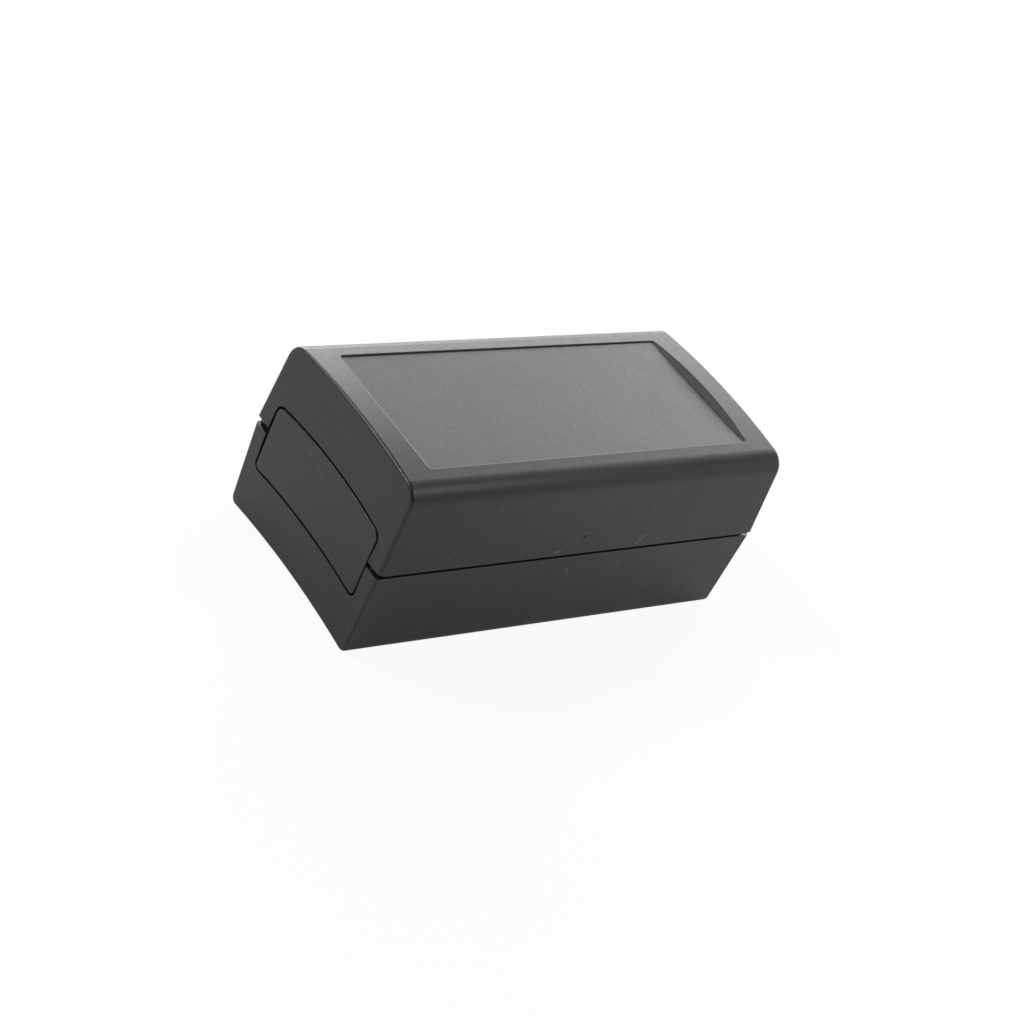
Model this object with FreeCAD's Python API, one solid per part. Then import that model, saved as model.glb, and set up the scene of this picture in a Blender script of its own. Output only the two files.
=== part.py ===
import FreeCAD, Part
import math
import os

# Plastic project box of two shells that meet at a parting line, with two loose
# end panels held in grooves and four screws driven up through the base.
# Lengths are in millimetres and angles in degrees. X runs along the box, the
# front faces -Y, Z is up, and the origin is on the floor under the box's middle.

Vector = FreeCAD.Vector
folder = "parts"
os.makedirs(folder, exist_ok=True)

# The closed box, measured where its two shells meet
case_length = 120.0
case_width = 58.6
base_height = 24.85
cover_height = 25.65
side_overhang = 0.28
wall = 2.5

# Draft of the outer faces, which lean in away from the parting line
cover_side_draft = 2.7
cover_end_draft = 2.6
base_side_draft = 2.2
base_end_draft = 2.0

# Arched top and underside, and the rounding of the long edges and the ends
crown_radius = 216.0
crown_corner_radius = 4.95
bottom_rise = 1.45
foot_radius = 2.05
base_inner_corner_radius = 1.2
end_edge_radius = 0.8

# Sunk field in the cover's top, made for a label or a keypad, inside its margins
field_end_margin = 9.8
field_side_margin = 8.5
field_side_step = 0.35
field_end_slope = 38.0
field_side_slope = 80.0
field_corner_radius = 0.5
field_edge_radius = 0.28
field_floor_thickness = 2.0

# Open line between the shells, the tongue behind it, the slots at the corners and the troughs in them
parting_gap_above = 0.38
parting_gap_below = 0.62
tongue_setback = 1.45
tongue_height = 1.9
tongue_root = 1.5
tongue_clearance = 0.2
front_slot_above = 0.62
front_slot_below = 0.75
back_slot_above = 0.9
back_slot_below = 0.9
trough_lip = 0.5
trough_depth = 2.2

# Window in each end for a panel
window_side_margin = 5.15
window_rise = 10.45
window_drop = 9.65
window_top_radius = 150.0
window_bottom_radius = 190.0
window_upper_corner = 3.0
window_lower_corner = 1.9

# End panel: a face that fills the window and a flange that runs in the groove
panel_gap = 0.6
panel_face_setback = 0.25
panel_edge_radius = 0.25
flange_width = 1.4
flange_thickness = 1.4
groove_clearance = 0.1
bulkhead_thickness = 1.3
bulkhead_cover = 1.2
flange_web_count = 5
flange_web_pitch = 9.5
flange_web_thickness = 1.3

# Screws and the pillars that they run in, placed from the box's ends and sides
screw_end_distance = 12.0
screw_side_distance = 8.8
screw_length = 35.0
screw_core_diameter = 2.0
screw_head_diameter = 6.0
screw_head_rim = 0.25
screw_neck_diameter = 2.3
screw_neck_length = 3.0
screw_point_length = 3.6
screw_head_height = 2.4
drive_span = 3.0
drive_width = 0.7
drive_depth = 1.5
drive_floor_span = 1.65
pillar_radius = 3.8
pillar_web = 2.0
clearance_hole_diameter = 3.3
head_bore_diameter = 6.6
head_seat_clearance = 0.05
pilot_diameter = 2.5
pilot_spare_depth = 1.0
pilot_mouth_chamfer = 0.5

# Bosses for a circuit board in the base, placed from the box's ends and sides
board_end_distance = 22.0
board_side_distance = 13.3
board_boss_radius = 2.8
board_boss_height = 5.0
board_hole_diameter = 2.2
board_hole_depth = 5.5

# Pairs of ribs inside the long walls that take an upright board or divider
guide_count = 3
guide_pitch = 26.0
guide_slot = 1.8
guide_rib_width = 1.2
guide_rib_depth = 1.6
guide_rib_end_gap = 3.0

# Places that follow from the sizes above
parting_z = base_height
crown_z = base_height + cover_height
half_length = case_length / 2
half_width = case_width / 2
base_half_width = half_width - side_overhang
inner_half_length = half_length - wall
window_width = case_width - 2 * window_side_margin
field_length = case_length - 2 * field_end_margin
field_width = case_width - 2 * field_side_margin
field_floor_z = crown_z - crown_radius + math.sqrt(crown_radius ** 2 - field_width ** 2 / 4) - field_side_step
ceiling_z = field_floor_z - field_floor_thickness
inner_floor_z = bottom_rise + wall
groove_width = flange_thickness + 2 * groove_clearance
groove_x = inner_half_length - groove_width
bulkhead_x = groove_x - bulkhead_thickness
panel_face_x = half_length - panel_face_setback
screw_x = half_length - screw_end_distance
screw_y = half_width - screw_side_distance
board_x = half_length - board_end_distance
board_y = half_width - board_side_distance
screw_places = {
    "front_left": (-screw_x, -screw_y),
    "front_right": (screw_x, -screw_y),
    "back_left": (-screw_x, screw_y),
    "back_right": (screw_x, screw_y),
}
screw_tip_z = screw_head_height + screw_length
pilot_top_z = screw_tip_z + pilot_spare_depth


def lean(draft):
    """Sideways run of a drafted face for each millimetre of its height."""
    return math.tan(math.radians(draft))


def slant(draft):
    """Level distance across a drafted face's wall for each millimetre of thickness."""
    return 1 / math.cos(math.radians(draft))


def bottom_radius():
    """Radius of the arch under the base, which ends in feet that just touch the floor."""
    foot_drop = parting_z - foot_radius
    foot_y = base_half_width - foot_drop * lean(base_side_draft) - foot_radius * slant(base_side_draft)
    return (foot_y ** 2 + bottom_rise ** 2) / (2 * bottom_rise) - foot_radius


def mirrored(point):
    """The same point on the other long side."""
    return Vector(point.x, -point.y, point.z)


def arched_edges(x, side_y, draft, direction, arch_centre_z, arch_radius, corner_radius):
    """Side, rounded corner, arch, corner and side, from the parting plane up (1) or down (-1)."""
    angle = math.radians(draft)
    side_start = Vector(x, side_y, parting_z)
    along = Vector(0, -math.sin(angle), direction * math.cos(angle))
    inward = Vector(0, -math.cos(angle), -direction * math.sin(angle))
    arch_centre = Vector(x, 0, arch_centre_z)
    reach = arch_radius - direction * corner_radius
    offset = side_start + inward * corner_radius - arch_centre
    run = along.dot(offset)
    travel = -run + direction * math.sqrt(run ** 2 - offset.dot(offset) + reach ** 2)
    corner = side_start + inward * corner_radius + along * travel
    side_end = corner - inward * corner_radius
    outward = (corner - arch_centre).normalize()
    arch_end = arch_centre + outward * arch_radius
    towards_middle = (side_end + arch_end - corner * 2).normalize()
    corner_middle = corner + towards_middle * corner_radius
    arch_top = arch_centre + Vector(0, 0, arch_radius)
    return [
        Part.LineSegment(side_start, side_end).toShape(),
        Part.Arc(side_end, corner_middle, arch_end).toShape(),
        Part.Arc(arch_end, arch_top, mirrored(arch_end)).toShape(),
        Part.Arc(mirrored(arch_end), mirrored(corner_middle), mirrored(side_end)).toShape(),
        Part.LineSegment(mirrored(side_end), mirrored(side_start)).toShape(),
    ]


def prism(edges, length):
    """Solid with the given outline across the box, drawn out along X."""
    wire = Part.Wire(Part.sortEdges(edges)[0])
    return Part.Face(wire).extrude(Vector(length, 0, 0))


def shell_prism(direction, inset, half_run):
    """Filled form of one shell, inset from its outer face by the given wall."""
    if direction > 0:
        side_y = half_width - inset * slant(cover_side_draft)
        centre_z = crown_z - crown_radius
        edges = arched_edges(
            -half_run, side_y, cover_side_draft, 1, centre_z, crown_radius - inset,
            crown_corner_radius - inset,
        )
    else:
        side_y = base_half_width - inset * slant(base_side_draft)
        centre_z = bottom_rise - bottom_radius()
        corner_radius = base_inner_corner_radius if inset else foot_radius
        edges = arched_edges(
            -half_run, side_y, base_side_draft, -1, centre_z, bottom_radius() + inset, corner_radius,
        )
    first = Vector(-half_run, side_y, parting_z)
    edges.append(Part.LineSegment(mirrored(first), first).toShape())
    return prism(edges, 2 * half_run)


def end_taper(direction):
    """Block whose two ends lean in away from the parting line."""
    draft = cover_end_draft if direction > 0 else base_end_draft
    height = cover_height if direction > 0 else base_height
    far_half = half_length - height * lean(draft)
    far_z = parting_z + direction * height
    points = [
        Vector(-half_length, -case_width, parting_z),
        Vector(half_length, -case_width, parting_z),
        Vector(far_half, -case_width, far_z),
        Vector(-far_half, -case_width, far_z),
    ]
    outline = Part.makePolygon(points + points[:1])
    return Part.Face(outline).extrude(Vector(0, 2 * case_width, 0))


def round_ends(solid):
    """Soft edge round each end face, apart from its straight side on the parting plane."""
    edges = []
    for face in solid.Faces:
        if abs(face.normalAt(0, 0).x) > 0.9:
            edges += [edge for edge in face.Edges if abs(edge.CenterOfMass.z - parting_z) > 0.01]
    return solid.makeFillet(end_edge_radius, edges)


def block(low, high):
    """Upright box between two opposite corners."""
    size = high - low
    return Part.makeBox(size.x, size.y, size.z, low)


def block_at_parting(x_low, x_high, y_low, y_high, height):
    """Box from the parting plane up, or down where the height is negative."""
    low_z = min(parting_z, parting_z + height)
    high_z = max(parting_z, parting_z + height)
    return block(Vector(x_low, y_low, low_z), Vector(x_high, y_high, high_z))


def window_prism(x_low, x_high, growth):
    """The window's outline grown by the given amount, between two places along X."""
    side_y = window_width / 2 + growth
    upper = arched_edges(
        x_low, side_y, 0, 1, parting_z + window_rise - window_top_radius,
        window_top_radius + growth, window_upper_corner + growth,
    )
    lower = arched_edges(
        x_low, side_y, 0, -1, parting_z - window_drop - window_bottom_radius,
        window_bottom_radius - growth, window_lower_corner + growth,
    )
    return prism(upper + lower, x_high - x_low)


def both_ends(solid):
    """A solid at the right end together with its mirror image at the left end."""
    return Part.makeCompound([solid, solid.mirror(Vector(0, 0, 0), Vector(1, 0, 0))])


def end_windows():
    """The openings through the end walls alone, which leave the grooves behind them whole."""
    return both_ends(window_prism(inner_half_length, half_length + wall, 0))


def groove_frames(hollow):
    """Bulkhead inside each end wall, with the webs and side pads that seat a panel's flange."""
    bulkhead = block(Vector(bulkhead_x, -half_width, 0), Vector(groove_x, half_width, crown_z))
    bulkhead = bulkhead.cut(window_prism(bulkhead_x, groove_x, -bulkhead_cover))
    spans = [(-half_width, -window_width / 2), (window_width / 2, half_width)]
    for index in range(flange_web_count):
        web_y = (index - (flange_web_count - 1) / 2) * flange_web_pitch
        spans.append((web_y - flange_web_thickness / 2, web_y + flange_web_thickness / 2))
    groove = window_prism(groove_x, inner_half_length, flange_width + groove_clearance)
    seats = []
    for low_y, high_y in spans:
        seat = block(Vector(groove_x, low_y, 0), Vector(inner_half_length, high_y, crown_z))
        seats.append(seat.cut(groove))
    return both_ends(bulkhead.fuse(seats).common(hollow))


def tongue_ring(clearance):
    """Upright rim of the base that stands inside the cover's skirt, with a clearance on every side."""
    outer_x = half_length - tongue_setback + clearance
    outer_y = half_width - tongue_setback + clearance
    inner_x = inner_half_length - clearance
    inner_y = base_half_width - wall * slant(base_side_draft) - clearance
    low_z = parting_z - tongue_root
    high_z = parting_z + tongue_height + clearance
    ring = block(Vector(-outer_x, -outer_y, low_z), Vector(outer_x, outer_y, high_z))
    return ring.cut(block(Vector(-inner_x, -inner_y, low_z), Vector(inner_x, inner_y, high_z)))


def parting_slab(direction):
    """One shell's share of the open line between them, over the whole box."""
    gap = parting_gap_above if direction > 0 else parting_gap_below
    return block_at_parting(-case_length, case_length, -case_width, case_width, direction * gap)


def corner_slots(direction):
    """Wider slots at the four corners, as deep as the tongue stands back."""
    inner_x = half_length - tongue_setback
    outer_x = half_length + wall
    front_z = front_slot_above if direction > 0 else front_slot_below
    back_z = back_slot_above if direction > 0 else back_slot_below
    front = block_at_parting(inner_x, outer_x, -case_width, 0, direction * front_z)
    back = block_at_parting(inner_x, outer_x, 0, case_width, direction * back_z)
    return both_ends(Part.makeCompound([front, back]))


def end_troughs():
    """Troughs between the tongue and a thin lip of each end, which keep the corner slots dark."""
    inner_x = half_length - tongue_setback
    outer_x = half_length - trough_lip
    side_y = half_width - tongue_setback
    low = Vector(inner_x, -side_y, parting_z - trough_depth)
    return both_ends(block(low, Vector(outer_x, side_y, parting_z)))


def upright(radius, place, low_z, high_z):
    """Vertical cylinder at a place on the plan."""
    return Part.makeCylinder(radius, high_z - low_z, Vector(place[0], place[1], low_z))


def pillars(low_z, high_z):
    """Screw pillars at the four corners, each tied to the long wall by a web."""
    solids = []
    for x, y in screw_places.values():
        side = math.copysign(1, y)
        web_y = sorted([y, side * half_width])
        low = Vector(x - pillar_web / 2, web_y[0], low_z)
        high = Vector(x + pillar_web / 2, web_y[1], high_z)
        solids.append(upright(pillar_radius, (x, y), low_z, high_z).fuse(block(low, high)))
    return solids


def guide_ribs(low_z, high_z):
    """Pairs of slabs across the box, spaced for the edge of an upright board."""
    solids = []
    for index in range(guide_count):
        middle_x = (index - (guide_count - 1) / 2) * guide_pitch
        for side in (-1, 1):
            rib_centre_x = middle_x + side * (guide_slot + guide_rib_width) / 2
            low = Vector(rib_centre_x - guide_rib_width / 2, -half_width, low_z)
            high = Vector(rib_centre_x + guide_rib_width / 2, half_width, high_z)
            solids.append(block(low, high))
    return Part.makeCompound(solids)


def ribs_on_walls(direction, hollow):
    """The guide ribs of one shell: what of the slabs lies within a rib's depth of its walls."""
    spared = shell_prism(direction, wall + guide_rib_depth, half_length)
    if direction > 0:
        low_z = parting_z + tongue_height + guide_rib_end_gap
        ribs = guide_ribs(low_z, crown_z)
        spared = spared.fuse(shell_prism(-1, wall, half_length))
    else:
        high_z = parting_z - guide_rib_end_gap
        ribs = guide_ribs(0, high_z)
    return ribs.common(hollow).cut(spared)


def board_places():
    """Centres of the four board bosses on the plan."""
    return [(side_x * board_x, side_y * board_y) for side_x in (-1, 1) for side_y in (-1, 1)]


def base_shell():
    """Lower shell: arched underside, tongue, pillars, board bosses, grooves and screw holes."""
    outer = round_ends(shell_prism(-1, 0, half_length).common(end_taper(-1)))
    hollow = shell_prism(-1, wall, inner_half_length)
    shell = outer.cut(hollow)
    shell = shell.fuse(groove_frames(hollow))
    shell = shell.cut(parting_slab(-1)).cut(corner_slots(-1))
    shell = shell.fuse(tongue_ring(0))
    shell = shell.cut(end_windows()).cut(end_troughs())
    inside = [solid.common(hollow) for solid in pillars(0, parting_z)]
    boss_top_z = inner_floor_z + board_boss_height
    bosses = [upright(board_boss_radius, place, 0, boss_top_z) for place in board_places()]
    inside += [boss.common(hollow) for boss in bosses]
    inside.append(ribs_on_walls(-1, hollow))
    shell = shell.fuse(inside)
    holes = [screw_passage(place) for place in screw_places.values()]
    hole_low_z = boss_top_z - board_hole_depth
    holes += [
        upright(board_hole_diameter / 2, place, hole_low_z, boss_top_z) for place in board_places()
    ]
    return shell.cut(holes).removeSplitter()


def screw_passage(place):
    """Bore for the head, 90 degree cone that seats it and clearance hole, up through a pillar."""
    head_radius = screw_head_diameter / 2 + head_seat_clearance
    hole_radius = clearance_hole_diameter / 2
    rim_top_z = screw_head_height + screw_head_rim
    cone_height = head_radius - hole_radius
    x, y = place
    bore = upright(head_bore_diameter / 2, place, -wall, screw_head_height)
    rim = upright(head_radius, place, -wall, rim_top_z)
    cone = Part.makeCone(head_radius, hole_radius, cone_height, Vector(x, y, rim_top_z))
    hole = upright(hole_radius, place, 0, parting_z)
    return bore.fuse([rim, cone, hole])


def pilot_hole(place):
    """Blind hole that the screw cuts its thread in, with an eased mouth."""
    radius = pilot_diameter / 2
    x, y = place
    mouth = Part.makeCone(
        radius + pilot_mouth_chamfer, radius, pilot_mouth_chamfer, Vector(x, y, parting_z)
    )
    return upright(radius, place, parting_z, pilot_top_z).fuse(mouth)


def field_cutter():
    """Tool for the sunk field: level floor, sloping ends and steep long sides."""
    height = 2 * (crown_z - field_floor_z)
    floor_x = field_length / 2
    floor_y = field_width / 2
    top_x = floor_x + height / lean(field_end_slope)
    top_y = floor_y + height / lean(field_side_slope)
    tool = tapered_block(floor_x, floor_y, field_floor_z, top_x, top_y, field_floor_z + height)
    middle_z = field_floor_z + height / 2
    corners = [edge for edge in tool.Edges if abs(edge.CenterOfMass.z - middle_z) < 0.01]
    return tool.makeFillet(field_corner_radius, corners)


def tapered_block(low_half_x, low_half_y, low_z, high_half_x, high_half_y, high_z):
    """Flat-sided block about the Z axis between two level rectangles of different sizes."""
    lying = Part.makeWedge(
        -low_half_x, low_z, -low_half_y, -high_half_y, -high_half_x,
        low_half_x, high_z, low_half_y, high_half_y, high_half_x,
    )
    lying.rotate(Vector(0, 0, 0), Vector(1, 0, 0), 90)
    return lying


def round_field_edge(solid):
    """Soft edge where the arched top turns down into the sunk field."""
    edges = []
    for edge in solid.Edges:
        above_floor = all(vertex.Z > field_floor_z + 0.01 for vertex in edge.Vertexes)
        near_field = all(abs(vertex.X) < inner_half_length for vertex in edge.Vertexes)
        if above_floor and near_field:
            edges.append(edge)
    return solid.makeFillet(field_edge_radius, edges)


def cover_shell():
    """Upper shell: arched top with its sunk field, skirt, grooves, and pillars that stand on the base's."""
    outer = round_ends(shell_prism(1, 0, half_length).common(end_taper(1)))
    outer = round_field_edge(outer.cut(field_cutter()))
    hollow = shell_prism(1, wall, inner_half_length)
    room = block_at_parting(-half_length, half_length, -half_width, half_width, ceiling_z - parting_z)
    hollow = hollow.common(room)
    shell = outer.cut(hollow)
    inside = [groove_frames(hollow), ribs_on_walls(1, hollow)]
    inside += [solid.common(hollow) for solid in pillars(parting_z, crown_z)]
    shell = shell.fuse(inside)
    shell = shell.cut(end_windows())
    shell = shell.cut(tongue_ring(tongue_clearance))
    feet = [
        shell.common(upright(pillar_radius, place, parting_z, parting_z + parting_gap_above))
        for place in screw_places.values()
    ]
    shell = shell.cut(parting_slab(1)).cut(corner_slots(1)).fuse(feet)
    holes = [pilot_hole(place) for place in screw_places.values()]
    return shell.cut(holes).removeSplitter()


def end_panel(side):
    """Panel for the left (-1) or right (1) end: a face in the window on a wider flange."""
    flange_low_x = groove_x + groove_clearance
    flange_high_x = flange_low_x + flange_thickness
    face = window_prism(flange_low_x, panel_face_x, -panel_gap)
    outer_edges = [edge for edge in face.Edges if edge.CenterOfMass.x > panel_face_x - 0.01]
    face = face.makeFillet(panel_edge_radius, outer_edges)
    panel = face.fuse(window_prism(flange_low_x, flange_high_x, flange_width)).removeSplitter()
    if side > 0:
        return panel
    return panel.mirror(Vector(0, 0, 0), Vector(1, 0, 0))


def drive_recess():
    """Cross-shaped recess for the driver, narrower at its floor, opening downwards."""
    half_width_of_wing = drive_width / 2
    wing = tapered_block(
        drive_span / 2, half_width_of_wing, 0, drive_floor_span / 2, half_width_of_wing, drive_depth
    )
    crossing = wing.copy()
    crossing.rotate(Vector(0, 0, 0), Vector(0, 0, 1), 90)
    return wing.fuse(crossing)


def screw():
    """Countersunk screw standing head down at the origin, with the core of its thread as a plain rod."""
    head_radius = screw_head_diameter / 2
    neck_radius = screw_neck_diameter / 2
    core_radius = screw_core_diameter / 2
    cone_top_z = screw_head_rim + head_radius - neck_radius
    point_z = screw_length - screw_point_length
    outline = [
        Vector(0, 0, 0),
        Vector(head_radius, 0, 0),
        Vector(head_radius, 0, screw_head_rim),
        Vector(neck_radius, 0, cone_top_z),
        Vector(neck_radius, 0, cone_top_z + screw_neck_length),
        Vector(core_radius, 0, cone_top_z + screw_neck_length + neck_radius - core_radius),
        Vector(core_radius, 0, point_z),
        Vector(0, 0, screw_length),
        Vector(0, 0, 0),
    ]
    turned = Part.Face(Part.makePolygon(outline)).revolve(Vector(0, 0, 0), Vector(0, 0, 1), 360)
    return turned.cut(drive_recess())


def save(name, solid):
    """Write one piece to its own file and print its size."""
    solid.exportStep(os.path.join(folder, name + ".step"))
    bounds = solid.BoundBox
    print(name, "solids", len(solid.Solids), "valid", solid.isValid(), "volume", round(solid.Volume, 1))
    print("  x", round(bounds.XMin, 2), round(bounds.XMax, 2), end="")
    print("  y", round(bounds.YMin, 2), round(bounds.YMax, 2), end="")
    print("  z", round(bounds.ZMin, 2), round(bounds.ZMax, 2))


save("base_shell", base_shell())
save("cover_shell", cover_shell())
save("end_panel_left", end_panel(-1))
save("end_panel_right", end_panel(1))
for place_name, (place_x, place_y) in screw_places.items():
    seated = screw()
    seated.translate(Vector(place_x, place_y, screw_head_height))
    save("screw_" + place_name, seated)
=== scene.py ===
# %% [markdown]
# # A project box of two plastic shells
#
# The real object is an electronics enclosure about 120 mm long: a deep base, an
# arched cover with a sunk field for a label, a removable panel in each end and
# four screws that come up from below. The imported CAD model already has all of
# those shapes, so this script keeps its bodies as the fixed frame and spends its
# effort on what Blender does best: finishes, real screw threads, light and camera.

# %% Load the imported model
import math

import bmesh
import bpy
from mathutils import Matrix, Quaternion, Vector


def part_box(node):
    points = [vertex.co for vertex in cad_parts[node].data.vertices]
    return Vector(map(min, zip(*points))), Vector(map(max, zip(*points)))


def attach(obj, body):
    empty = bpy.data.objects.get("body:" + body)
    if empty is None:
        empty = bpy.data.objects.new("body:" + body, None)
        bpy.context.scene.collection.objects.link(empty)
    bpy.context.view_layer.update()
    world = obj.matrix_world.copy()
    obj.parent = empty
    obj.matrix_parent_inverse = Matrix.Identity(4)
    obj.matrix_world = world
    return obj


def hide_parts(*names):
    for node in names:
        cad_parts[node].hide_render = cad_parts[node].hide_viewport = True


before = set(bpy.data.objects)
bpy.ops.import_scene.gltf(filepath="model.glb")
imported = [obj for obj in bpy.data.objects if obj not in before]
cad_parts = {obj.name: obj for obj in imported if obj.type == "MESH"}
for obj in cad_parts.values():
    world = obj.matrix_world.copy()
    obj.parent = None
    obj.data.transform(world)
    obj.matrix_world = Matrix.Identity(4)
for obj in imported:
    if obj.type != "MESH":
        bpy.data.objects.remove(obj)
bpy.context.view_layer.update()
print("pieces in the frame:", ", ".join(sorted(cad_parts)))

# %% [markdown]
# # The camera
#
# A camera can be placed by eye, but a box with straight edges gives it away: the
# edges' vanishing points hold the focal length and the viewing direction. Those
# were solved from the photograph once, and are written here as a place, a point
# that the camera looks at, and a roll. The box looks tilted because the camera
# was rolled by 26 degrees; the box itself stands level.

# %% Camera
frame_width_px = 1024
focal_length_px = 2417.0
sensor_width_mm = 36.0
camera_place = Vector((-0.38513, -0.33665, 0.34083))
camera_aim = Vector((-0.00860, -0.01220, 0.02485))
camera_roll = math.radians(25.98)

camera_data = bpy.data.cameras.new("camera")
camera_data.sensor_width = sensor_width_mm
camera_data.lens = focal_length_px / frame_width_px * sensor_width_mm
camera = bpy.data.objects.new("camera", camera_data)
camera.location = camera_place
camera.rotation_mode = "QUATERNION"
level_aim = (camera_aim - camera_place).to_track_quat("-Z", "Y")
camera.rotation_quaternion = level_aim @ Quaternion((0, 0, 1), camera_roll)
bpy.context.scene.collection.objects.link(camera)
bpy.context.scene.camera = camera
bpy.context.scene.view_settings.view_transform = "Standard"
print("lens in mm:", round(camera_data.lens, 2))

# %% [markdown]
# # A short way to write shaders
#
# Shader nodes are usually wired by hand, one link at a time, which hides the
# formula behind them. Python can overload its operators instead: the class below
# wraps one socket, so that `1 - mask` or `height * 0.3` adds the Math node that
# works it out. Any other kind of node comes from its `node` method, and
# `vector_maths` is a shorter way to ask that method for a Vector Math node.

# %% Shader maths
class Wire:
    """A socket of a material's nodes that can be used in plain arithmetic."""

    def __init__(self, tree, socket=None):
        self.tree = tree
        self.socket = socket

    def node(self, kind, settings=None, inputs=None, output=0):
        """Add a node: its settings first, then the values or links of its inputs."""
        made = self.tree.nodes.new(kind)
        for name, value in (settings or {}).items():
            setattr(made, name, value)
        for name, value in (inputs or {}).items():
            if isinstance(value, Wire):
                self.tree.links.new(value.socket, made.inputs[name])
            else:
                made.inputs[name].default_value = value
        return Wire(self.tree, made.outputs[output] if made.outputs else None)

    def maths(self, operation, *values):
        """A Math node on wires or numbers."""
        return self.node("ShaderNodeMath", {"operation": operation}, dict(enumerate(values)))

    def vector_maths(self, operation, *values, output="Vector"):
        """A Vector Math node on wires or vectors."""
        inputs = dict(enumerate(values))
        return self.node("ShaderNodeVectorMath", {"operation": operation}, inputs, output)

    def __add__(self, other):
        return self.maths("ADD", self, other)

    def __radd__(self, other):
        return self.maths("ADD", other, self)

    def __sub__(self, other):
        return self.maths("SUBTRACT", self, other)

    def __rsub__(self, other):
        return self.maths("SUBTRACT", other, self)

    def __mul__(self, other):
        return self.maths("MULTIPLY", self, other)

    def __rmul__(self, other):
        return self.maths("MULTIPLY", other, self)

    def larger(self, other):
        """The larger of two values."""
        return self.maths("MAXIMUM", self, other)

    def above(self, edge, softness):
        """Mask that rises smoothly from 0 to 1 where this value passes an edge."""
        limits = {"Value": self, "From Min": edge - softness, "From Max": edge + softness}
        return self.node("ShaderNodeMapRange", {"interpolation_type": "SMOOTHSTEP"}, limits)


def new_material(name):
    """A material with an empty node tree, and a wire to start building from."""
    material = bpy.data.materials.new(name)
    material.use_nodes = True
    material.node_tree.nodes.clear()
    return material, Wire(material.node_tree)


def colour_mix(wire, factor, first, second):
    """Blend of two colours by a mask."""
    inputs = {0: factor, 6: first, 7: second}
    return wire.node("ShaderNodeMix", {"data_type": "RGBA"}, inputs, 2)


# %% [markdown]
# # Floor and background
#
# The photograph was taken on white card that burnt out to pure white. More light
# would burn it out here too, but the box would then be lit wrongly. So the floor
# shows camera rays a mix of itself and plain white, which keeps the soft shadow
# under the box, and the world shows them white behind the floor's far edge. The
# same white is shown to mirror-like and clear surfaces, which should see the card.
# Higher up the studio is dim, so the world fades above the card's upper edge.

# %% Studio values
floor_half_size = 4.0
floor_colour = (0.87, 0.81, 0.88, 1.0)
floor_glow_to_camera = 0.93
floor_glow_to_gloss = 0.29
white = (1.0, 1.0, 1.0, 1.0)
dim_ceiling = (0.03, 0.03, 0.03, 1.0)
card_top = 0.10
card_fade = 0.08
room_colour = (0.96, 0.98, 1.0, 1.0)
room_strength = 0.02
print("floor of", 2 * floor_half_size, "m, world strength", room_strength)


# %% Who sees the white
def seen_directly(wire, to_camera, to_gloss):
    """A share for rays from the camera, one for glossy or clear surfaces, 0 for the rest."""
    camera_ray = wire.node("ShaderNodeLightPath", output="Is Camera Ray")
    glossy_ray = wire.node("ShaderNodeLightPath", output="Is Glossy Ray")
    clear_ray = wire.node("ShaderNodeLightPath", output="Is Transmission Ray")
    return (camera_ray * to_camera).larger((glossy_ray + clear_ray) * to_gloss)


# %% Floor card
def floor_material():
    """White card that keeps its shadows but looks nearly as bright as the background."""
    material, wire = new_material("floor_card")
    card = wire.node("ShaderNodeBsdfDiffuse", {}, {"Color": floor_colour})
    glow = wire.node("ShaderNodeEmission", {}, {"Color": white, "Strength": 1.0})
    share = seen_directly(wire, floor_glow_to_camera, floor_glow_to_gloss)
    mixed = wire.node("ShaderNodeMixShader", {}, {0: share, 1: card, 2: glow})
    wire.node("ShaderNodeOutputMaterial", {}, {"Surface": mixed})
    return material


def make_floor():
    """One square of card under the box."""
    bm = bmesh.new()
    bmesh.ops.create_grid(bm, x_segments=1, y_segments=1, size=floor_half_size)
    mesh = bpy.data.meshes.new("floor")
    bm.to_mesh(mesh)
    bm.free()
    floor = bpy.data.objects.new("floor", mesh)
    floor.data.materials.append(floor_material())
    bpy.context.scene.collection.objects.link(floor)


make_floor()


# %% World
def light_room():
    """World that lights the box evenly and looks white where it is seen."""
    world = bpy.data.worlds.new("room")
    world.use_nodes = True
    world.node_tree.nodes.clear()
    wire = Wire(world.node_tree)
    direction = wire.node("ShaderNodeTexCoord", output="Generated")
    upward = wire.node("ShaderNodeSeparateXYZ", {}, {0: direction}, "Z")
    studio = colour_mix(wire, upward.above(card_top, card_fade), white, dim_ceiling)
    room_light = {"Color": room_colour, "Strength": room_strength}
    lighting = wire.node("ShaderNodeBackground", {}, room_light)
    backdrop = wire.node("ShaderNodeBackground", {}, {"Color": studio, "Strength": 1.0})
    share = seen_directly(wire, 1.0, 1.0)
    mixed = wire.node("ShaderNodeMixShader", {}, {0: share, 1: lighting, 2: backdrop})
    wire.node("ShaderNodeOutputWorld", {}, {"Surface": mixed})
    bpy.context.scene.world = world


light_room()
print("world:", bpy.context.scene.world.name)

# %% [markdown]
# # Lamps
#
# A black box is hardly lit by its colour: what is seen is the sheen of its
# slightly rough surface. The photograph shows a top that is brightest along its
# back edge, so four banks of light stand low behind the box and on its right,
# where the top mirrors them at a grazing angle. A lamp high on the left lights the
# end and draws the thin bright line along its rounded rim. Two small ones near the
# camera's side give the long front edge its sheen. Lamps are hidden from the
# camera, which looks past them in other views.

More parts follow.
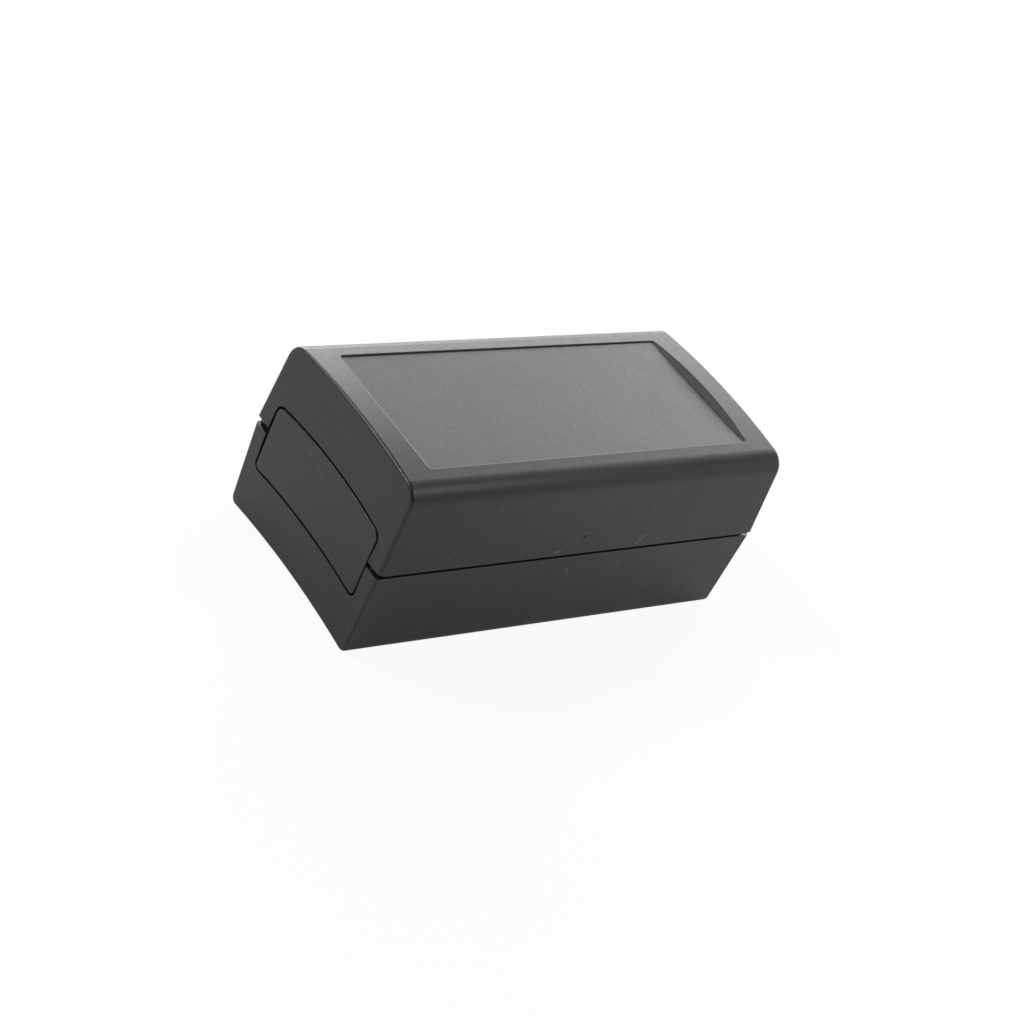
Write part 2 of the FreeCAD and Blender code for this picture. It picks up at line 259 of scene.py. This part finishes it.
# %% Places and strengths of the lamps
lamps = {
    "back_bank": {"place": (0.95, 0.85, 0.46), "size": (1.7, 0.56), "radiance": 5.2},
    "back_left": {"place": (0.35, 1.20, 0.48), "size": (0.7, 0.55), "radiance": 8.4},
    "back_right": {"place": (1.15, 0.55, 0.40), "size": (0.5, 0.7), "radiance": 1.6},
    "right_low": {"place": (1.25, 0.10, 0.30), "size": (0.9, 0.55), "radiance": 3.9},
    "left_high": {"place": (-0.75, 0.60, 0.90), "size": (0.4, 0.4), "radiance": 22.0},
    "near_right": {"place": (0.42, -0.30, 0.20), "size": (0.25, 0.25), "radiance": 1.2},
    "near_front": {"place": (0.035, -0.115, 0.185), "size": (0.05, 0.05), "radiance": 12.8},
}
lamp_aim = Vector((0.0, 0.0, 0.03))
print("lamps:", len(lamps))


# %% Lamps
def add_lamp(name, place, size, radiance):
    """Rectangular lamp of the given brightness, turned to the box."""
    data = bpy.data.lights.new(name, "AREA")
    data.shape = "RECTANGLE"
    data.size, data.size_y = size
    data.energy = radiance * math.pi * size[0] * size[1]
    lamp = bpy.data.objects.new(name, data)
    lamp.location = place
    lamp.rotation_euler = (lamp_aim - Vector(place)).to_track_quat("-Z", "Y").to_euler()
    lamp.visible_camera = False
    bpy.context.scene.collection.objects.link(lamp)
    print(name, "power in W:", round(data.energy, 2))


for lamp_name, settings in lamps.items():
    add_lamp(lamp_name, **settings)

# %% [markdown]
# # The black plastic
#
# The shells are black ABS. Their mould was spark eroded, which prints a fine,
# dull grain on the part. An image texture could show it, but it would need an
# unwrap and would repeat, so the grain is worked out from noise on Object
# coordinates, in metres: a feature size of 0.5 mm is a noise scale of about 2000.
# The grain drives a small bump and lets the roughness vary. A weaker mottle, about
# 2 mm wide, stands for the waves of a moulded skin, and a much larger noise lets
# the colour drift a little. The base colour is very dark, because most of the grey
# that is seen on the box is the sheen above it.

# %% Grain and colours of the plastic
grain_scale = 2000.0
grain_detail = 3.0
mottle_scale = 500.0
drift_scale = 45.0
soft_detail = 2.0
black = (0.0112, 0.0104, 0.0115, 1.0)
faded_black = (0.0146, 0.0136, 0.0149, 1.0)
scuff_grey = (0.11, 0.11, 0.11, 1.0)
scuff_cover = 0.65
# painted shade: the colour of the nicks, which stands in for the shade inside a small dent
nick_shade_black = (0.001, 0.001, 0.001, 1.0)
print("grain size in mm:", 1000 / grain_scale, "mottle size in mm:", 1000 / mottle_scale)


# %% Noise
def noise(wire, coordinates, scale, detail):
    """Soft noise between 0 and 1."""
    inputs = {"Vector": coordinates, "Scale": scale, "Detail": detail}
    return wire.node("ShaderNodeTexNoise", {}, inputs)


# %% [markdown]
# Small marks are strokes: the distance of a point from a short straight line. The
# line's nearest point is found with Vector Math, by projecting the point on the
# line and clamping the result to its two ends. Coarse noise is added to the
# distance before it is cut off, which makes the mark's edge ragged.

# %% Marks
ragged_scale = 1800.0
ragged_reach = 1.6
mark_softness = 0.6


def distance_to_stroke(wire, coordinates, start, end):
    """Distance from a short straight stroke on the box, in metres."""
    stroke = Vector(end) - Vector(start)
    scaled = stroke / stroke.length_squared
    from_start = wire.vector_maths("SUBTRACT", coordinates, start)
    share = wire.vector_maths("DOT_PRODUCT", from_start, scaled, output="Value")
    share = wire.node("ShaderNodeClamp", {}, {"Value": share})
    nearest = wire.vector_maths("MULTIPLY_ADD", stroke, share, start)
    return wire.vector_maths("DISTANCE", coordinates, nearest, output="Value")


def scuffs(wire, coordinates, marks):
    """Mask of small marks: each has two ends and a radius in metres, and a strength."""
    ragged = noise(wire, coordinates, ragged_scale, soft_detail)
    mask = None
    for start, end, radius, strength in marks:
        distance = distance_to_stroke(wire, coordinates, start, end)
        reach = distance + (ragged - 0.5) * (ragged_reach * radius)
        mark = (1 - reach.above(radius, mark_softness * radius)) * strength
        mask = mark if mask is None else mask.larger(mark)
    return mask


# %% Black plastic
plastic_gloss = 0.5
plastic_ior = 1.5
drift_edge = 0.5
drift_softness = 0.2
mottle_height = 0.5
relief_depth = 0.00006
grain_swing = 0.2
mottle_swing = 0.1
scuff_dulling = 0.1


def black_plastic(name, marks, shaded_nicks=None, roughness=0.45, bump=0.6):
    """Moulded black ABS with eroded grain, a mottle, slow drift of colour, a few marks, and
    nicks whose dent shade is painted black without sheen.
    """
    material, wire = new_material(name)
    coordinates = wire.node("ShaderNodeTexCoord", output="Object")
    grain = noise(wire, coordinates, grain_scale, grain_detail)
    mottle = noise(wire, coordinates, mottle_scale, soft_detail)
    drift = noise(wire, coordinates, drift_scale, soft_detail)
    worn = scuffs(wire, coordinates, marks)
    colour = colour_mix(wire, drift.above(drift_edge, drift_softness), black, faded_black)
    colour = colour_mix(wire, worn * scuff_cover, colour, scuff_grey)
    nick_shade_mask = 0.0
    # painted shade: nicks turn black and metallic, so they lose their sheen and look like the
    # shade in a dent
    if shaded_nicks:
        nick_shade_mask = scuffs(wire, coordinates, shaded_nicks)
        colour = colour_mix(wire, nick_shade_mask, colour, nick_shade_black)
    height = grain + mottle * mottle_height
    relief_inputs = {"Height": height, "Strength": bump, "Distance": relief_depth}
    relief = wire.node("ShaderNodeBump", {}, relief_inputs)
    unevenness = (grain - 0.5) * grain_swing + (mottle - 0.5) * mottle_swing
    surface = wire.node(
        "ShaderNodeBsdfPrincipled",
        {},
        {
            "Base Color": colour,
            "Roughness": roughness + unevenness + worn * scuff_dulling,
            "Metallic": nick_shade_mask,
            "IOR": plastic_ior,
            "Specular IOR Level": plastic_gloss,
            "Normal": relief,
        },
    )
    wire.node("ShaderNodeOutputMaterial", {}, {"Surface": surface})
    return material


# %% [markdown]
# The photograph shows a handful of small marks: a scratch, a few pale rubs and a
# tiny dark nick on the front near the parting line, a speck on the sunk field and
# three on the left panel. Their mask mixes a grey into the black. The nick's dark
# spot is painted shade, standing in for the shade inside the dent: a black base
# colour alone wouldn't do, because the sheen lies above it, so the nick is also
# made metallic, and a black metal has no sheen.

# %% Places of the marks
cover_marks = [
    ((0.01901, -0.02922, 0.02645), (0.02087, -0.02912, 0.02864), 0.00038, 0.85),
    ((-0.00784, -0.02923, 0.02633), (-0.00608, -0.02921, 0.02665), 0.00032, 1.2),
    ((-0.00178, -0.02909, 0.02933), (-0.00120, -0.02909, 0.02921), 0.00028, 0.5),
    ((0.00021, -0.02898, 0.03169), (0.00071, -0.02900, 0.03127), 0.00028, 0.35),
    ((-0.03124, -0.02850, 0.04190), (-0.03079, -0.02851, 0.04162), 0.00025, 0.6),
    ((-0.04098, -0.02912, 0.02875), (-0.03977, -0.02907, 0.02973), 0.00030, 0.3),
    ((0.01965, -0.02872, 0.03720), (0.02003, -0.02873, 0.03697), 0.00025, 0.5),
    ((0.00221, -0.02886, 0.03418), (0.00261, -0.02887, 0.03389), 0.00028, 0.3),
    ((0.00097, -0.00993, 0.04915), (0.00153, -0.00952, 0.04915), 0.00030, 0.6),
]
# painted shade: the nick on the front is a dark spot that stands in for the shade in its dent
cover_shaded_nicks = [((0.00011, -0.02905, 0.03023), (0.00033, -0.02903, 0.03058), 0.00030, 0.9)]
base_marks = [
    ((-0.00047, -0.02883, 0.01994), (0.00031, -0.02878, 0.01872), 0.00030, 0.9),
    ((0.01480, -0.02881, 0.01941), (0.01657, -0.02884, 0.02022), 0.00028, 0.35),
    ((0.01614, -0.02850, 0.01129), (0.01668, -0.02848, 0.01080), 0.00025, 0.5),
]
panel_marks = [
    ((-0.05975, 0.0071, 0.0313), (-0.05975, 0.0075, 0.0313), 0.00026, 0.6),
    ((-0.05975, 0.0002, 0.0296), (-0.05975, 0.0006, 0.0296), 0.00022, 0.6),
    ((-0.05975, 0.0031, 0.0311), (-0.05975, 0.0035, 0.0311), 0.00018, 0.6),
]
all_marks = cover_marks + cover_shaded_nicks + base_marks + panel_marks
print("marks on the plastic:", len(all_marks))

# %% Finish of the shells and panels
finishes = {
    "cover_shell": black_plastic("cover_black", cover_marks, cover_shaded_nicks),
    "base_shell": black_plastic("base_black", base_marks),
    "end_panel_left": black_plastic("panel_black", panel_marks, roughness=0.43, bump=0.7),
}
finishes["end_panel_right"] = finishes["end_panel_left"]
for node_name, material in finishes.items():
    node_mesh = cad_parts[node_name].data
    node_mesh.materials.clear()
    node_mesh.materials.append(material)
    print(node_name, "now has", material.name)

# %% [markdown]
# # Zinc for the screws
#
# The screws are steel with bright zinc on it. Zinc is a little blue and its sheen
# is never even, because the bath leaves fine crystals, so the roughness wanders
# over fractions of a millimetre while the colour hardly changes.

# %% Bright zinc
zinc = (0.78, 0.80, 0.83, 1.0)
zinc_shade = (0.66, 0.69, 0.73, 1.0)
zinc_roughness = 0.24
crystal_scale = 2600.0
crystal_swing = 0.2
crystal_bump = 0.15
crystal_depth = 0.00003
cloud_scale = 500.0
cloud_swing = 0.1
cloud_edge = 0.55
cloud_softness = 0.15


def bright_zinc(name):
    """Zinc plating with a crystalline unevenness in its sheen."""
    material, wire = new_material(name)
    coordinates = wire.node("ShaderNodeTexCoord", output="Object")
    crystals = noise(wire, coordinates, crystal_scale, soft_detail)
    clouds = noise(wire, coordinates, cloud_scale, soft_detail)
    unevenness = (crystals - 0.5) * crystal_swing + (clouds - 0.5) * cloud_swing
    shade = clouds.above(cloud_edge, cloud_softness)
    relief_inputs = {"Height": crystals, "Strength": crystal_bump, "Distance": crystal_depth}
    relief = wire.node("ShaderNodeBump", {}, relief_inputs)
    surface = wire.node(
        "ShaderNodeBsdfPrincipled",
        {},
        {
            "Base Color": colour_mix(wire, shade, zinc, zinc_shade),
            "Metallic": 1.0,
            "Roughness": zinc_roughness + unevenness,
            "Normal": relief,
        },
    )
    wire.node("ShaderNodeOutputMaterial", {}, {"Surface": surface})
    return material


screw_finish = bright_zinc("bright_zinc")
print("finish of the screws:", screw_finish.name)

# %% [markdown]
# # The screws and their threads
#
# Four long self-tapping screws hold the box together. The CAD model keeps each one
# as a turned rod with a countersunk head and a cross recess, which is all that the
# motion needs, but without its thread a screw looks like a nail. The thread could
# be faked with a bump, yet its outline would stay straight. It is a small ridge
# wound round the core, so here it is made as one: a triangle is spun round the
# screw's axis while every step also lifts it. A bmesh spin adds its dvec at every
# step, so the pitch is shared out over the steps. Both ends run out into the core,
# as on a rolled thread, and over the point the ridge follows the cone inwards.

# %% Sizes of the thread
millimetre = 0.001
thread_pitch = 1.42 * millimetre
thread_turns = 22
thread_height = 0.50 * millimetre
thread_base_width = 0.60 * millimetre
thread_sink = 0.04 * millimetre
thread_first_z = 5.4 * millimetre
thread_last_z = thread_first_z + thread_turns * thread_pitch
thread_run_out = 0.9 * millimetre
steps_per_turn = 28
print("the thread ends in mm at:", round(thread_last_z / millimetre, 2))

# %% The rod that the thread is wound on
neck_radius = 1.15 * millimetre
neck_end_z = 7.5 * millimetre
core_radius = 1.0 * millimetre
point_start_z = 33.8 * millimetre
point_end_z = 37.4 * millimetre


def rod_radius(z):
    """Radius of the bare screw at a height: neck, then core, then a cone to the point."""
    if z < neck_end_z:
        return neck_radius
    left = (point_end_z - z) / (point_end_z - point_start_z)
    return core_radius * min(1.0, max(0.0, left))


def crest_height(z):
    """Height of the ridge above the rod, which fades out at both ends."""
    from_end = min(z - thread_first_z, thread_last_z - z)
    return thread_height * min(1.0, max(0.0, from_end / thread_run_out))


# %% Winding the thread
def wind_thread(axis):
    """Mesh of one closed spiral ridge round an upright axis."""
    bm = bmesh.new()
    outline = [
        bm.verts.new((axis.x + core_radius, axis.y, thread_first_z - thread_base_width / 2)),
        bm.verts.new((axis.x + core_radius + thread_height, axis.y, thread_first_z)),
        bm.verts.new((axis.x + core_radius, axis.y, thread_first_z + thread_base_width / 2)),
    ]
    first_face = bm.faces.new(outline)
    bmesh.ops.spin(
        bm, geom=[first_face], cent=axis, axis=(0, 0, 1), angle=2 * math.pi * thread_turns,
        dvec=(0, 0, thread_pitch / steps_per_turn), steps=thread_turns * steps_per_turn,
    )
    for vert in bm.verts:
        outward = Vector((vert.co.x - axis.x, vert.co.y - axis.y))
        share = (outward.length - core_radius) / thread_height
        rise = crest_height(vert.co.z) + thread_sink
        reach = rod_radius(vert.co.z) - thread_sink + share * rise
        outward *= max(reach, 0.0) / outward.length
        vert.co.x, vert.co.y = axis.x + outward.x, axis.y + outward.y
    bmesh.ops.recalc_face_normals(bm, faces=bm.faces)
    ridge = bpy.data.meshes.new("thread")
    bm.to_mesh(ridge)
    bm.free()
    return ridge


# %% [markdown]
# Each finished screw is a merged copy of its CAD rod with the ridge added. Edges
# that turn by more than 30 degrees are marked sharp, so that the head's rim, the
# recess and the crest stay crisp while the rod between them shades round.

# %% Dressed screws
sharp_turn = math.radians(30)
merge_distance = 0.001 * millimetre


def dress_screw(node_name):
    """The piece that stands for one CAD screw, thread included."""
    bm = bmesh.new()
    bm.from_mesh(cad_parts[node_name].data)
    bmesh.ops.remove_doubles(bm, verts=bm.verts, dist=merge_distance)
    low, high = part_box(node_name)
    axis = Vector(((low.x + high.x) / 2, (low.y + high.y) / 2, 0.0))
    ridge = wind_thread(axis)
    bm.from_mesh(ridge)
    bpy.data.meshes.remove(ridge)
    for face in bm.faces:
        face.smooth = True
    for edge in bm.edges:
        edge.smooth = edge.calc_face_angle(0.0) < sharp_turn
    mesh = bpy.data.meshes.new(node_name + "_threaded")
    bm.to_mesh(mesh)
    bm.free()
    mesh.materials.append(screw_finish)
    piece = bpy.data.objects.new(node_name + "_threaded", mesh)
    bpy.context.scene.collection.objects.link(piece)
    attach(piece, "base")
    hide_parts(node_name)
    return piece


for place_name in ("front_left", "front_right", "back_left", "back_right"):
    threaded = dress_screw("screw_" + place_name)
    top_z = max(vert.co.z for vert in threaded.data.vertices)
    face_count = len(threaded.data.polygons)
    print(threaded.name, "faces:", face_count, "top in mm:", round(1000 * top_z, 2))
